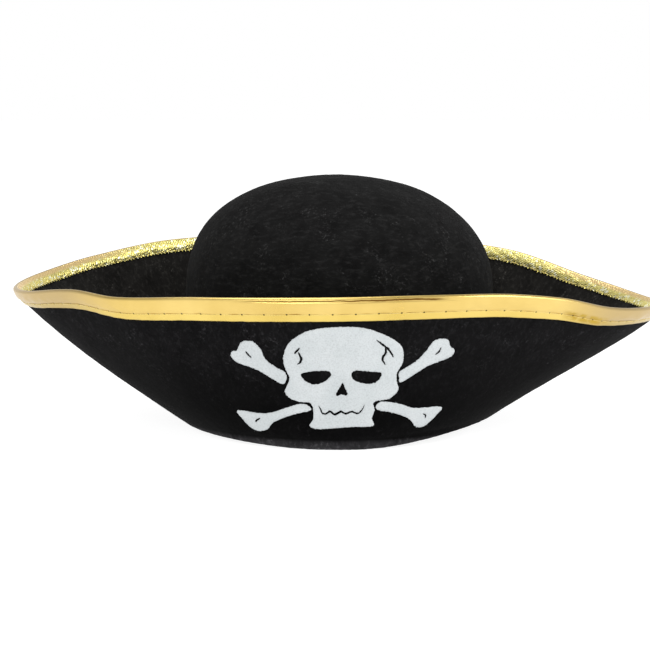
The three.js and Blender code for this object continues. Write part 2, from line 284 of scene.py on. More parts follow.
def evenly(curve_at, pitch, steps=1440):
    """Plan angles round a closed curve, about pitch(u) apart along it."""
    u = np.linspace(-math.pi, math.pi, steps + 1)
    points = curve_at(u[:-1])
    points = np.concatenate([points, points[:1]])
    length = np.linalg.norm(np.diff(points, axis=0), axis=1)
    run = np.concatenate([[0], np.cumsum(length / pitch((u[:-1] + u[1:]) / 2))])
    count = round(run[-1])
    return np.interp(np.arange(count) * run[-1] / count, run, u)


def smooth_step(value, low, high):
    s = np.clip((value - low) / (high - low), 0, 1)
    return s * s * (3 - 2 * s)


# ---------------- mesh makers

THREAD_SIDES = 6


def mesh_object(name, vertices, faces, material):
    mesh = bpy.data.meshes.new(name)
    mesh.from_pydata((np.asarray(vertices) * MM).tolist(), [], faces)
    mesh.polygons.foreach_set("use_smooth", [True] * len(mesh.polygons))
    mesh.materials.append(material)
    piece = bpy.data.objects.new(name, mesh)
    scene.collection.objects.link(piece)
    return piece


def ring_faces(columns, rows, closed_rows):
    i, j = np.meshgrid(np.arange(columns), np.arange(rows if closed_rows else rows - 1), indexing="ij")
    i, j = i.ravel(), j.ravel()
    nexti, nextj = (i + 1) % columns, (j + 1) % rows
    faces = np.stack([i * rows + j, nexti * rows + j, nexti * rows + nextj, i * rows + nextj], -1)
    return faces, i, j


def ring(name, sections, material, around_mm, closed_rows=True):
    """A body right round the hat from sections[plan angle, point]. Its UV map is in metres: U round the
    hat, V across the section."""
    columns, rows = sections.shape[:2]
    faces, i, j = ring_faces(columns, rows, closed_rows)
    across = np.linalg.norm(np.diff(sections, axis=1), axis=-1).mean(0)
    v = np.concatenate([[0], np.cumsum(across), [across.sum() + 1]]) * MM
    step = around_mm * MM / columns
    uv = np.stack([np.stack([i, i + 1, i + 1, i], 1) * step, v[np.stack([j, j, j + 1, j + 1], 1)]], -1)
    piece = mesh_object(name, sections.reshape(-1, 3), faces.tolist(), material)
    layer = piece.data.uv_layers.new(name="run")
    layer.data.foreach_set("uv", uv.reshape(-1).tolist())
    return piece


def weld(piece, distance=1e-6):
    """Merges the points where a body closes on the hat's axis."""
    work = bmesh.new()
    work.from_mesh(piece.data)
    bmesh.ops.remove_doubles(work, verts=work.verts, dist=distance)
    bmesh.ops.dissolve_degenerate(work, dist=distance, edges=work.edges)
    work.to_mesh(piece.data)
    work.free()


def between(angles, parts, trim=0.0):
    """Plan angles from each one of a closed row to the next, as rows of that many points; trim is the
    share left off at both ends."""
    following = np.append(angles[1:], angles[0] + TURN)
    s = trim + (1 - 2 * trim) * (np.arange(parts) / parts if trim == 0 else np.linspace(0, 1, parts))
    return angles[:, None] + (following - angles)[:, None] * s


def tube_sides(rings, sides):
    """The faces of a tube's first end and of its sides."""
    faces = [tuple(range(sides))[::-1]]
    for first in range(0, (rings - 1) * sides, sides):
        for k in range(sides):
            n = (k + 1) % sides
            faces.append((first + k, first + n, first + sides + n, first + sides + k))
    return faces


def repeated(faces, count, vertices):
    return [tuple(vertices * i + v for v in face) for i in range(count) for face in faces]


def stitches(name, paths, normals, radius, rise, material):
    """A row of thread stitches along paths[stitch, point] on a surface. Each one comes up out of the
    surface, lies along it and goes down again."""
    count, points = paths.shape[:2]
    s = np.linspace(-1, 1, points)
    arch = rise * (1 - s**4) - radius * 1.3 * np.abs(s) ** 6
    path = paths + normals * arch[:, None]
    along = unit(np.gradient(path, axis=1))
    side = unit(np.cross(along, normals))
    up = np.cross(side, along)
    sides = THREAD_SIDES
    turn = np.arange(sides) * TURN / sides
    thick = radius * np.where(np.abs(s) == 1, 0.55, 1.0)[None, :, None, None]
    tube = path[:, :, None] + thick * (side[:, :, None] * np.cos(turn)[:, None]
                                       + up[:, :, None] * np.sin(turn)[:, None])
    faces = tube_sides(points, sides)
    faces.append(tuple((points - 1) * sides + k for k in range(sides)))
    return mesh_object(name, tube.reshape(-1, 3), repeated(faces, count, points * sides), material)


# ---------------- materials

class Nodes:
    """Short names for making a node material."""

    def __init__(self, name, **settings):
        self.material = bpy.data.materials.new(name)
        self.material.use_nodes = True
        self.tree = self.material.node_tree
        self.shader = self.tree.nodes["Principled BSDF"]
        for key, value in settings.items():
            self.shader.inputs[key.replace("_", " ")].default_value = value

    def put(self, socket, value):
        if isinstance(value, bpy.types.NodeSocket):
            self.tree.links.new(value, socket)
        else:
            socket.default_value = value

    def add(self, kind, inputs, **settings):
        node = self.tree.nodes.new("ShaderNode" + kind)
        for key, value in settings.items():
            setattr(node, key, value)
        for key, value in inputs.items():
            self.put(node.inputs[key], value)
        return node

    def coordinates(self, source="Object", scale=(1, 1, 1)):
        where = self.add("TexCoord", {}).outputs[source]
        return self.add("Mapping", {"Vector": where, "Scale": scale}).outputs["Vector"]

    def noise(self, vector, scale, detail=3.0, roughness=0.6):
        inputs = {"Vector": vector, "Scale": scale, "Detail": detail, "Roughness": roughness}
        return self.add("TexNoise", inputs).outputs["Fac"]

    def bands(self, direction, vector, scale, distortion, detail=2.0, detail_scale=1.0):
        inputs = {"Vector": vector, "Scale": scale, "Distortion": distortion, "Detail": detail,
                  "Detail Scale": detail_scale}
        return self.add("TexWave", inputs, wave_type="BANDS", bands_direction=direction).outputs["Fac"]

    def ramp(self, factor, stops):
        node = self.add("ValToRGB", {"Fac": factor})
        ramp = node.color_ramp
        while len(ramp.elements) < len(stops):
            ramp.elements.new(0.5)
        for element, (place, colour) in zip(ramp.elements, stops):
            element.position = place
            element.color = (*colour, 1)
        return node.outputs["Color"]

    def mix(self, factor, a, b, blend="MIX"):
        a, b = ((*value, 1) if isinstance(value, tuple) else value for value in (a, b))
        return self.add("Mix", {0: factor, 6: a, 7: b}, data_type="RGBA", blend_type=blend).outputs[2]

    def plus(self, a, b):
        return self.mix(1.0, a, b, "ADD")

    def tinted(self, a, b):
        return self.mix(1.0, a, b, "MULTIPLY")

    def maths(self, operation, a, b=0.0):
        return self.add("Math", {0: a, 1: b}, operation=operation).outputs[0]

    def times(self, a, b):
        return self.maths("MULTIPLY", a, b)

    def span(self, value, low, high, start=0.0, end=1.0):
        """start where value is at low, end where it is at high, and smooth between."""
        node = self.add("MapRange", {"Value": value, "From Min": low, "From Max": high, "To Min": start,
                                     "To Max": end}, interpolation_type="SMOOTHSTEP")
        return node.outputs["Result"]

    def colour(self, socket):
        self.put(self.shader.inputs["Base Color"], socket)

    def bump(self, height, strength, distance_mm, below=None):
        inputs = {"Height": height, "Strength": strength, "Distance": distance_mm * MM}
        if below is not None:
            inputs["Normal"] = below
        normal = self.add("Bump", inputs).outputs["Normal"]
        self.put(self.shader.inputs["Normal"], normal)
        return normal


def grey(value):
    return (value, value, value)


def felt_material(name, streak_scale, tint, shade=()):
    """Black pressed felt: mottled, streaked by its fibres, with a few paler ones on top. shade lists
    how dark it is at heights in millimetres, as painted light and shade: lighter on the roll for the
    light it catches from the floor, and darker on the flap above it, most of all low down, where shade
    falls."""
    m = Nodes(name, Roughness=0.95, IOR=1.15, Specular_IOR_Level=0.4, Sheen_Weight=0.006,
              Sheen_Roughness=0.6)
    mottle = m.noise(m.coordinates(), 90, 4, 0.65)
    fibres = m.noise(m.coordinates(scale=streak_scale), 420, 3, 0.7)
    strands = m.noise(m.coordinates(scale=(streak_scale[1], streak_scale[0], 1.6)), 900, 2, 0.6)
    base = m.ramp(mottle, [(0.3, grey(0.0026)), (0.72, grey(0.0066))])
    streaks = m.ramp(fibres, [(0.5, grey(0.0)), (0.78, grey(0.0085))])
    pale = m.ramp(strands, [(0.66, grey(0.0)), (0.80, grey(0.014))])
    clumps = m.noise(m.coordinates(), 75, 2, 0.5)
    curls = m.noise(m.coordinates(), 560, 3, 0.75)
    lint = m.tinted(m.ramp(clumps, [(0.50, grey(0.0)), (0.66, grey(1.0))]),
                    m.ramp(curls, [(0.56, grey(0.0)), (0.70, grey(0.03))]))
    felt = m.tinted(m.plus(m.plus(m.plus(base, streaks), pale), lint), tint)
    # painted light and shade: the colour is scaled by height in the object
    if shade:
        height = m.add("SeparateXYZ", {"Vector": m.coordinates()}).outputs["Z"]
        top = shade[-1][0]
        stops = [(z / top, grey(value)) for z, value in shade]
        painted_light_by_height = m.ramp(m.maths("DIVIDE", height, top * MM), stops)
        felt = m.tinted(felt, painted_light_by_height)
    m.colour(felt)
    coarse = m.bump(mottle, 0.35, 0.5)
    m.bump(m.maths("ADD", fibres, strands), 0.6, 0.16, below=coarse)
    return m.material


class Ribbon:
    """What the binding's materials read: the place along the seam, below it and on the hat."""

    def __init__(self, m):
        self.uv = m.coordinates("UV")
        place = m.add("UVMap", {}, uv_map="ribbon").outputs["UV"]
        stitch, self.below_seam = m.add("SeparateXYZ", {"Vector": place}).outputs[:2]
        part = m.maths("FRACT", m.maths("ADD", stitch, 0.5))
        nearest = m.maths("ABSOLUTE", m.maths("SUBTRACT", part, 0.5))
        along = m.times(nearest, HOLE_PITCH)
        off_hole = m.maths("SQRT", m.maths("ADD", m.maths("POWER", along, 2.0),
                                           m.maths("POWER", self.below_seam, 2.0)))
        self.hole = m.span(off_hole, 0.55, 0.25)
        self.x = m.add("SeparateXYZ", {"Vector": m.coordinates()}).outputs["X"]
        self.at_tips = m.span(m.maths("ABSOLUTE", self.x), 0.115, 0.160)


def foil_material():
    """Gold foil ribbon: smooth metal over a fine weave, with a paler, pinkish tint painted at the points
    as a reflection of the surroundings, creased along the front with painted shade along the crease, and
    with a patch of painted shade near the right-hand point for a crumple there."""
    m = Nodes("gold_foil", Metallic=0.95)
    ribbon = Ribbon(m)
    patches = m.noise(m.coordinates(), 28, 3, 0.55)
    tone = m.ramp(patches, [(0.3, (0.67, 0.475, 0.135)), (0.7, (0.79, 0.585, 0.195))])
    # painted reflection: a paler, pinkish tint at the points, for the surroundings the foil reflects
    # there
    tone = m.mix(ribbon.at_tips, tone, (0.52, 0.385, 0.175))
    lower = m.span(ribbon.below_seam, -0.3, 0.4)
    tone = m.mix(lower, tone, m.tinted(tone, (1.0, 1.02, 0.88)))
    # painted shade: a dark brown line along the crease on the front, for the shade in the fold
    wobble = m.times(m.maths("SUBTRACT", m.noise(m.coordinates(), 90, 3, 0.6), 0.5), 1.6)
    above_seam = m.maths("ADD", ribbon.below_seam, CREASE_ABOVE_SEAM)
    from_crease = m.maths("ABSOLUTE", m.maths("ADD", above_seam, wobble))
    wide = m.span(ribbon.x, -0.010, 0.035, 0.35, 0.65)
    crease = m.span(m.maths("DIVIDE", from_crease, wide), 1.0, 0.55)
    reach = m.times(m.span(ribbon.x, -0.062, -0.035), m.span(ribbon.x, 0.062, 0.050))
    tone = m.mix(m.times(crease, reach), tone, (0.16, 0.075, 0.012))
    # painted shade: a darker patch near the right-hand point, for the shade of a crumple there
    crumple = m.times(m.span(ribbon.x, 0.122, 0.131), m.span(ribbon.x, 0.156, 0.144))
    crumple = m.times(crumple, m.span(m.maths("ABSOLUTE", ribbon.below_seam), 3.6, 1.6))
    uneven = m.span(m.noise(m.coordinates(), 200, 2, 0.6), 0.35, 0.5, 0.35, 1.0)
    crumple = m.times(crumple, uneven)
    tone = m.mix(crumple, tone, (0.50, 0.33, 0.05))
    m.colour(m.mix(ribbon.hole, tone, (0.012, 0.009, 0.005)))
    weave = m.bands("DIAGONAL", ribbon.uv, 420.0, 1.2, 1.0)
    fine = m.noise(ribbon.uv, 1100, 2, 0.6)
    m.put(m.shader.inputs["Roughness"], m.ramp(patches, [(0.2, grey(0.24)), (0.8, grey(0.38))]))
    soft = m.bump(m.times(weave, m.span(ribbon.below_seam, -0.4, 0.6, 0.25, 1.0)), 0.25, 0.08)
    m.bump(fine, 0.3, 0.05, below=soft)
    return m.material


def glitter_material():
    """The ribbon's wrong side: a coarser diagonal metal weave, with bright flecks painted on as glints.
    """
    m = Nodes("gold_glitter", Metallic=0.75, Roughness=0.27)
    ribbon = Ribbon(m)
    weave = m.bands("DIAGONAL", ribbon.uv, 300.0, 2.5, 2.0, 2.0)
    cells = m.add("TexVoronoi", {"Vector": ribbon.uv, "Scale": 620.0})
    shade = m.ramp(weave, [(0.15, (0.85, 0.69, 0.14)), (0.6, (1.0, 0.92, 0.36))])
    lit = m.add("SeparateXYZ", {"Vector": cells.outputs["Color"]}).outputs["X"]
    shade = m.tinted(shade, m.ramp(lit, [(0.05, grey(0.72)), (0.40, grey(1.0))]))
    # painted glints: whitish flecks added to the colour on the brightest cells
    painted_glint = m.ramp(lit, [(0.80, grey(0.0)), (0.88, (0.4, 0.45, 0.5))])
    smooth = m.times(ribbon.at_tips, m.span(ribbon.below_seam, -3.0, -5.5))
    tone = m.mix(smooth, m.plus(shade, painted_glint), (0.95, 0.70, 0.32))
    m.colour(m.mix(ribbon.hole, tone, (0.10, 0.07, 0.01)))
    m.bump(cells.outputs["Distance"], 0.5, 0.22, below=m.bump(weave, 0.5, 0.2))
    return m.material


def ink_material():
    """Screen-print ink that has soaked into the felt: off-white, with the fibres showing through."""
    m = Nodes("white_ink", Roughness=0.7, Specular_IOR_Level=0.3)
    where = m.coordinates()
    grain = m.noise(where, 1300, 3, 0.65)
    cloud = m.noise(where, 70, 3, 0.5)
    paint = m.ramp(cloud, [(0.3, (0.53, 0.565, 0.575)), (0.7, (0.585, 0.615, 0.625))])
    m.colour(m.tinted(paint, m.ramp(grain, [(0.3, grey(0.80)), (0.55, grey(1.0))])))
    m.bump(grain, 0.5, 0.14)
    return m.material


def thread_material(name, dark, light):
    """Twisted sewing thread."""
    m = Nodes(name, Roughness=0.55, Specular_IOR_Level=0.3, Sheen_Weight=0.2)
    twist = m.bands("DIAGONAL", m.coordinates(), 900.0, 1.0)
    m.colour(m.ramp(twist, [(0.2, dark), (0.8, light)]))
    m.bump(twist, 0.6, 0.08)
    return m.material


def grosgrain_material():
    """Black ribbon with cross ribs."""
    m = Nodes("black_grosgrain", Roughness=0.62, Specular_IOR_Level=0.25, Sheen_Weight=0.1)
    uv = m.coordinates("UV")
    ribs = m.bands("X", uv, 190.0, 0.3, 1.0)
    picks = m.bands("Y", uv, 700.0, 0.6)
    m.colour(m.ramp(ribs, [(0.1, (0.004, 0.004, 0.0045)), (0.9, (0.015, 0.015, 0.016))]))
    m.bump(picks, 0.3, 0.05, below=m.bump(ribs, 0.8, 0.3))
    return m.material


def satin_material():
    """White satin label ribbon."""
    m = Nodes("white_satin", Roughness=0.42, Specular_IOR_Level=0.5, Sheen_Weight=0.2)
    warp = m.noise(m.coordinates(scale=(1, 1, 0.06)), 1900, 2, 0.5)
    cloud = m.noise(m.coordinates(), 60, 2, 0.5)
    m.colour(m.ramp(cloud, [(0.3, (0.80, 0.78, 0.73)), (0.7, (0.88, 0.865, 0.82))]))
    m.bump(warp, 0.4, 0.05)
    return m.material


STITCH_PITCH_FRONT, STITCH_PITCH_REST = 12.4, 7.5
HOLE_PITCH = STITCH_PITCH_REST * 1.2  # for which the painted needle holes are round
CREASE_ABOVE_SEAM = 7.7

CROWN_FELT = felt_material("felt_crown", (0.45, 0.45, 1.3), (1.32, 1.31, 1.31))
# the shade stops paint light and shade on the brim by height: lighter on the roll for the light from the
# floor, darker on the flap above it where shade falls
BRIM_FELT = felt_material("felt_brim", (1.1, 1.1, 0.55), (5.8, 5.6, 6.0),
                          shade=[(0, 1.0), (4.0, 0.62), (6.0, 0.06), (20, 0.03), (62, 0.17)])
# painted light: a lighter copy of the brim felt for the brim's inner faces, for the light that falls on
# them
BRIM_FELT_INSIDE_PAINTED_LIGHT = felt_material("felt_brim_inside_painted_light", (1.1, 1.1, 0.55), (2.8, 2.65, 2.45))
FUZZ_FELT = felt_material("felt_fuzz", (1, 1, 1), (1.6, 1.58, 1.6))
FOIL = foil_material()
GLITTER = glitter_material()
INK = ink_material()
BLACK_THREAD = thread_material("black_thread", (0.004, 0.004, 0.004), (0.02, 0.02, 0.02))
GOLD_THREAD = thread_material("gold_thread", (0.58, 0.45, 0.11), (0.92, 0.74, 0.28))
GROSGRAIN = grosgrain_material()
SATIN = satin_material()

# ---------------- floor

FLOOR_SIZE, FLOOR_LEVEL = 12.0, -0.05  # in metres and in millimetres


def floor():
    m = Nodes("floor", Roughness=0.9, Specular_IOR_Level=0.0)
    speck = m.noise(m.coordinates(), 40, 2, 0.5)
    m.colour(m.ramp(speck, [(0.3, grey(0.36)), (0.7, grey(0.37))]))
    m.shader.inputs["Emission Color"].default_value = (1, 1, 1, 1)
    m.shader.inputs["Emission Strength"].default_value = 0.9
    half = FLOOR_SIZE / MM / 2
    plan = (-half, -half), (half, -half), (half, half), (-half, half)
    corners = [(x, y, FLOOR_LEVEL) for x, y in plan]
    mesh_object("floor", corners, [(0, 1, 2, 3)], m.material)


floor()

# ---------------- felt

CROWN_COLUMNS, BRIM_COLUMNS = 620, 800
DOME_ROWS, WALL_ROWS, INSIDE_DOME_ROWS, INSIDE_WALL_ROWS = 70, 44, 40, 24
FLAP_ROWS, INSIDE_FLAP_ROWS = 48, 40
STRIP_FOOT = 4.4  # where the strip inside the crown ends and the roll begins
CROWN_ROUND, BRIM_ROUND = 620, 900  # lengths round the hat, for the UV maps
FELT_LUMPS, CROWN_DENTS = 0.10, 0.7
SEAM_CREASE, CREASE_ABOVE_ROLL, CREASE_SPREAD = 0.9, 3.2, 1.6


def add_lumps(piece, depth, seed):
    """Moves each point of the felt along its normal into small lumps, 3 mm and 9 mm long."""
    mesh = piece.data
    count = len(mesh.vertices)
    place = np.empty(count * 3)
    mesh.vertices.foreach_get("co", place)
    place = place.reshape(-1, 3) / MM
    normal = np.empty(count * 3)
    mesh.vertex_normals.foreach_get("vector", normal)
    lumps = depth * (0.6 * ripple(place, 3.0, 24, seed) + 0.5 * ripple(place, 9.0, 16, seed + 1))
    place += normal.reshape(-1, 3) * lumps[:, None]
    mesh.vertices.foreach_set("co", (place * MM).reshape(-1))
    mesh.update()


def felt_crown():
    u = np.linspace(0, TURN, CROWN_COLUMNS, endpoint=False)
    outside = crown_side(u, 0, DOME_ROWS, WALL_ROWS)
    inside = crown_side(u, FELT, INSIDE_DOME_ROWS, INSIDE_WALL_ROWS)[:, ::-1]
    rim = (outside[:, -1:] + inside[:, :1]) / 2 - np.array([0, 0, 0.3])
    sections = np.concatenate([outside, rim, inside], 1)
    # shallow dents, which fade towards the foot
    dents = CROWN_DENTS * ripple(sections, 60, 14, 21) * np.clip(sections[..., 2] / 60, 0, 1)
    away = unit(sections * np.array([1, 1, 0.6]) + np.array([0, 0, 1e-6]))
    sections = sections + away * dents[..., None]
    piece = ring("felt_crown", sections, CROWN_FELT, CROWN_ROUND, closed_rows=False)
    weld(piece)
    add_lumps(piece, FELT_LUMPS, 31)
    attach(piece, "hat")
    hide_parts("crown")
    return piece


def brim_side(flap, inward, flap_rows):
    """One face of the brim, from its strip inside the crown, under the roll and up to the edge."""
    u = flap.u
    start = flap_slope(u) - start_drop(u)
    strip = WALL_MIDDLE + ROLL_OFFSET - FOLD_RADIUS + inward
    rows = [in_base(u, strip, z) for z in np.linspace(ALLOWANCE_HEIGHT, STRIP_FOOT, 6)]
    rows += [on_roll(u, math.radians(d), -1, inward) for d in np.linspace(180, 270, 8)]
    rows += [on_roll(u, 1.5 * math.pi + part * start, 1, inward) for part in np.linspace(0, 1, 6)[:-1]]
    from_roll = np.linspace(0, 1, flap_rows) ** 1.15
    distance = flap.length[:, None] * (1 - from_roll)
    middle, inwards, _ = flap.rows(distance)
    # the seam round the crown pulls the felt in just above the roll
    run = flap.length[:, None] * from_roll
    at_front = smooth_step(np.abs(np.sin(u)), 0.55, 0.95)[:, None]
    crease = SEAM_CREASE * at_front * np.exp(-((run - CREASE_ABOVE_ROLL) / CREASE_SPREAD) ** 2)
    surface = middle + inwards * (inward + crease)[..., None]
    return np.concatenate([np.stack(rows, 1), surface], 1)


def felt_brim():
    u = np.linspace(-math.pi, math.pi, BRIM_COLUMNS, endpoint=False)
    flap = Flap(u)
    outside = brim_side(flap, -FELT / 2, FLAP_ROWS)
    inside = brim_side(flap, FELT / 2, INSIDE_FLAP_ROWS)
    sections = np.concatenate([inside, outside[:, ::-1]], 1)
    piece = ring("felt_brim", sections, BRIM_FELT, BRIM_ROUND)
    # the inner faces get the lighter copy of the felt, painted light
    piece.data.materials.append(BRIM_FELT_INSIDE_PAINTED_LIGHT)
    row = ring_faces(*sections.shape[:2], True)[2]
    piece.data.polygons.foreach_set("material_index", (row < inside.shape[1]).astype(int).tolist())
    add_lumps(piece, FELT_LUMPS, 41)
    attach(piece, "hat")
    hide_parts("brim")
    return piece


crown_piece = felt_crown()
brim_piece = felt_brim()

# ---------------- loose fibres on the felt

FIBRE_LENGTHS = 0.5, 1.8
FIBRE_RADIUS_AT_ROOT, FIBRE_RADIUS_AT_BEND, FIBRE_BEND_AT, FIBRE_SIDES = 0.06, 0.045, 0.55, 3
FUZZ_ABOVE, FUZZ_BEYOND_HEAD, FUZZ_BELOW_EDGE = 30, 1.09, 20


def fuzz(name, felt, count, keep, draw):
    """Short loose fibres that stand off the felt where keep(point) allows, each a closed spike."""
    places, normals, areas = [], [], []
    for face in felt.data.polygons:
        if keep(face.center / MM):
            places.append(face.center / MM)
            normals.append(face.normal)
            areas.append(face.area)
    places, normals, areas = np.array(places), np.array(normals), np.array(areas)
    pick = draw.choice(len(places), count, p=areas / areas.sum())
    sway = draw.normal(size=(count, 3))
    normal = normals[pick]
    root = places[pick] + unit(np.cross(normal, sway)) * draw.uniform(0, 0.7, (count, 1)) - normal * 0.15
    lean = unit(normal + 0.8 * unit(sway))
    bend = unit(lean + 0.9 * unit(draw.normal(size=(count, 3))))
    length = draw.uniform(*FIBRE_LENGTHS, (count, 1))
    middle = root + lean * length * FIBRE_BEND_AT
    tip = middle + bend * length * (1 - FIBRE_BEND_AT)
    side = unit(np.cross(lean, draw.normal(size=(count, 3))))
    up = np.cross(lean, side)
    points = []
    n = FIBRE_SIDES
    for centre, radius in ((root, FIBRE_RADIUS_AT_ROOT), (middle, FIBRE_RADIUS_AT_BEND)):
        for k in range(n):
            angle = TURN * k / n
            points.append(centre + radius * (side * math.cos(angle) + up * math.sin(angle)))
    points.append(tip)
    body = np.stack(points, 1)
    faces = tube_sides(2, n) + [(k + n, (k + 1) % n + n, 2 * n) for k in range(n)]
    piece = mesh_object(name, body.reshape(-1, 3), repeated(faces, count, len(points)), FUZZ_FELT)
    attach(piece, "hat")


def bare_crown(point):
    """The crown above the sweatband, but for the middle of its top."""
    return point[2] > FUZZ_ABOVE and math.hypot(point[0] / 88, point[1] / 105) > 0.2


def bare_brim(point):
    """The brim where there is neither ribbon nor a neighbour close by."""
    u = math.atan2(point[1] / EDGE_HALF_WIDTH, point[0] / EDGE_HALF_LENGTH)
    reach = math.hypot(point[0] / HEAD_HALF_WIDTH, point[1] / HEAD_HALF_DEPTH)
    top = float(edge_height(np.array([u]))[0]) - FUZZ_BELOW_EDGE
    return reach > FUZZ_BEYOND_HEAD and point[2] < top


fuzz("crown_fuzz", crown_piece, 9000, bare_crown, rng)
fuzz("brim_fuzz", brim_piece, 14000, bare_brim, rng)

# ---------------- gold binding and its seam

RIBBON, BINDING_GAP = 0.5, 0.2
COLUMNS_PER_STITCH = 14
OUTER_ROWS, FOLD_ROWS, INNER_ROWS, ROWS_PER_UNDERSIDE_ROW = 34, 9, 16, 6
BINDING_ROUND = 1100
CREASE_BELOW_EDGE, CREASE_DEPTH, CREASE_WIDTH = 0.45, 0.32, 0.35
GROOVE_DEPTH, HOLE_DEPTH = 0.10, 0.36
BELLY, CRUMPLE, SERRATION, SERRATIONS_PER_STITCH, RAGGEDNESS = 0.45, 0.16, 0.45, 3, 0.18
# Each is at the front and elsewhere
OUTER_LEG, INNER_LEG, SEAM_BELOW_EDGE = (11.6, 9.0), (8.3, 7.0), (7.6, 6.3)


def round_the_edge(u, front_and_elsewhere):
    """A distance that changes smoothly from the front to the rest of the hat."""
    front, elsewhere = front_and_elsewhere
    return elsewhere + (front - elsewhere) * smooth_step(-np.sin(u), 0.35, 0.8)


def seam_line(u):
    return Flap(u).rows(round_the_edge(u, SEAM_BELOW_EDGE)[:, None])[0][:, 0]


def stitch_pitch(u):
    longer = STITCH_PITCH_FRONT - STITCH_PITCH_REST
    return STITCH_PITCH_REST + longer * smooth_step(-np.sin(u), 0.6, 0.98)


stitch_angles = evenly(seam_line, stitch_pitch)


def pulled_in(column, off_seam):
    """How far the seam draws the ribbon towards the felt, in millimetres."""
    phase = (column % COLUMNS_PER_STITCH) / COLUMNS_PER_STITCH
    from_hole = np.minimum(phase, 1 - phase)[:, None] * STITCH_PITCH_FRONT
    groove = GROOVE_DEPTH * np.exp(-((off_seam / 1.3) ** 2))
    hole = HOLE_DEPTH * np.exp(-((from_hole / 0.9) ** 2 + (off_seam / 0.7) ** 2))
    return groove + hole


def binding_skin(flap, radius, puffed):
    """One skin of the folded ribbon, from its outer lower edge over the fold to its inner lower edge,
    and how far each row of it is below the seam."""
    u = flap.u
    column = np.arange(len(u))
    seam = round_the_edge(u, SEAM_BELOW_EDGE)[:, None]
    phase = column[:, None] / COLUMNS_PER_STITCH
    ragged = (SERRATION * np.sin(TURN * phase * SERRATIONS_PER_STITCH)
              + RAGGEDNESS * ripple(seam_line(u), 2.0, 12, 62)[:, None])
    outer = round_the_edge(u, OUTER_LEG)[:, None] * np.linspace(1, 0, OUTER_ROWS) ** 1.5
    inner = (round_the_edge(u, INNER_LEG)[:, None] + ragged) * np.linspace(0, 1, INNER_ROWS)
    legs = []
    for distance, side in ((outer, -1), (inner, 1)):
        middle, inwards, _ = flap.rows(distance)
        # between the seam and the fold the ribbon stands a little proud, and it wrinkles
        belly = BELLY * np.sin(math.pi * np.clip(distance / seam, 0, 1))
        crumple = CRUMPLE * ripple(middle * np.array([1, 1, 2.2]), 9, 20, 61)
        crumple = crumple * np.clip(distance / 3, 0.2, 1)
        proud = belly + crumple - pulled_in(column, distance - seam)
        if side < 0:
            along = smooth_step(middle[..., 0], -62, -35) * smooth_step(-middle[..., 0], -75, -45)
            wobble = 0.3 * ripple(middle * np.array([1, 1, 0]), 22, 8, 63)
            off_crease = distance - CREASE_BELOW_EDGE + wobble
            proud = proud - CREASE_DEPTH * along * np.exp(-((off_crease / CREASE_WIDTH) ** 2))
        legs.append(middle + inwards * (side * (radius + proud * puffed))[..., None])
    middle, inwards, outwards = flap.rows(np.array([0.0]))
    angle = np.linspace(0, math.pi, FOLD_ROWS + 2)[1:-1]
    fold = (middle - inwards * (radius * np.cos(angle))[:, None]
            + outwards * (radius * np.sin(angle))[:, None])
    below = np.concatenate([outer - seam, -seam - radius * np.sin(angle), inner - seam], 1)
    return np.concatenate([legs[0], fold, legs[1]], 1), below


def gold_binding():
    u = between(stitch_angles, COLUMNS_PER_STITCH).ravel()
    flap = Flap(u)
    under = FELT / 2 + BINDING_GAP
    outside, below = binding_skin(flap, under + RIBBON, 1.0)
    underside, below_under = binding_skin(flap, under, 0.0)
    underside = underside[:, ::ROWS_PER_UNDERSIDE_ROW]
    below_under = below_under[:, ::ROWS_PER_UNDERSIDE_ROW]
    sections = np.concatenate([underside, outside[:, ::-1]], 1)
    below_seam = np.concatenate([below_under, below[:, ::-1]], 1)
    piece = ring("gold_ribbon_binding", sections, FOIL, BINDING_ROUND)
    piece.data.materials.append(GLITTER)
    columns, rows = sections.shape[:2]
    faces, column, row = ring_faces(columns, rows, True)
    first_inner = underside.shape[1]
    glitter = (row >= first_inner - 1) & (row < first_inner + INNER_ROWS + 1)
    piece.data.polygons.foreach_set("material_index", glitter.astype(int).tolist())
    stitch = np.stack([column, column + 1, column + 1, column], 1) / COLUMNS_PER_STITCH
    layer = piece.data.uv_layers.new(name="ribbon")
    layer.data.foreach_set("uv", np.stack([stitch, below_seam.ravel()[faces]], -1).ravel().tolist())
    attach(piece, "hat")
    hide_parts("gold_binding")


THREAD_SUNK = 0.14


def binding_seam(name, node, side, radius, trim):
    angles = between(stitch_angles, 11, trim=trim)
    u = angles.ravel()
    middle, inwards, _ = Flap(u).rows(round_the_edge(u, SEAM_BELOW_EDGE)[:, None])
    outside = side * (FELT / 2 + BINDING_GAP + RIBBON - THREAD_SUNK)
    path = (middle + inwards * outside)[:, 0].reshape(*angles.shape, 3)
    normals = (inwards[:, 0] * side).reshape(path.shape)
    piece = stitches(name, path, normals, radius, 0.24, GOLD_THREAD)
    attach(piece, "hat")
    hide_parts(node)


gold_binding()
binding_seam("binding_outer_stitches", "binding_needle_thread", -1, 0.15, 0.03)
binding_seam("binding_inner_stitches", "binding_bobbin_thread", 1, 0.22, 0.14)

# ---------------- sweatband and its seams

BAND_BOTTOM, BAND_TOP, BAND_SEAM_HEIGHT, HEADLINE_SEAM_HEIGHT = 2.5, 30.0, 5.0, 9.0
BAND_ROUND, BAND_WAVE, BAND_ROUNDING = 580, 0.5, np.array([0, 0, 0.3])


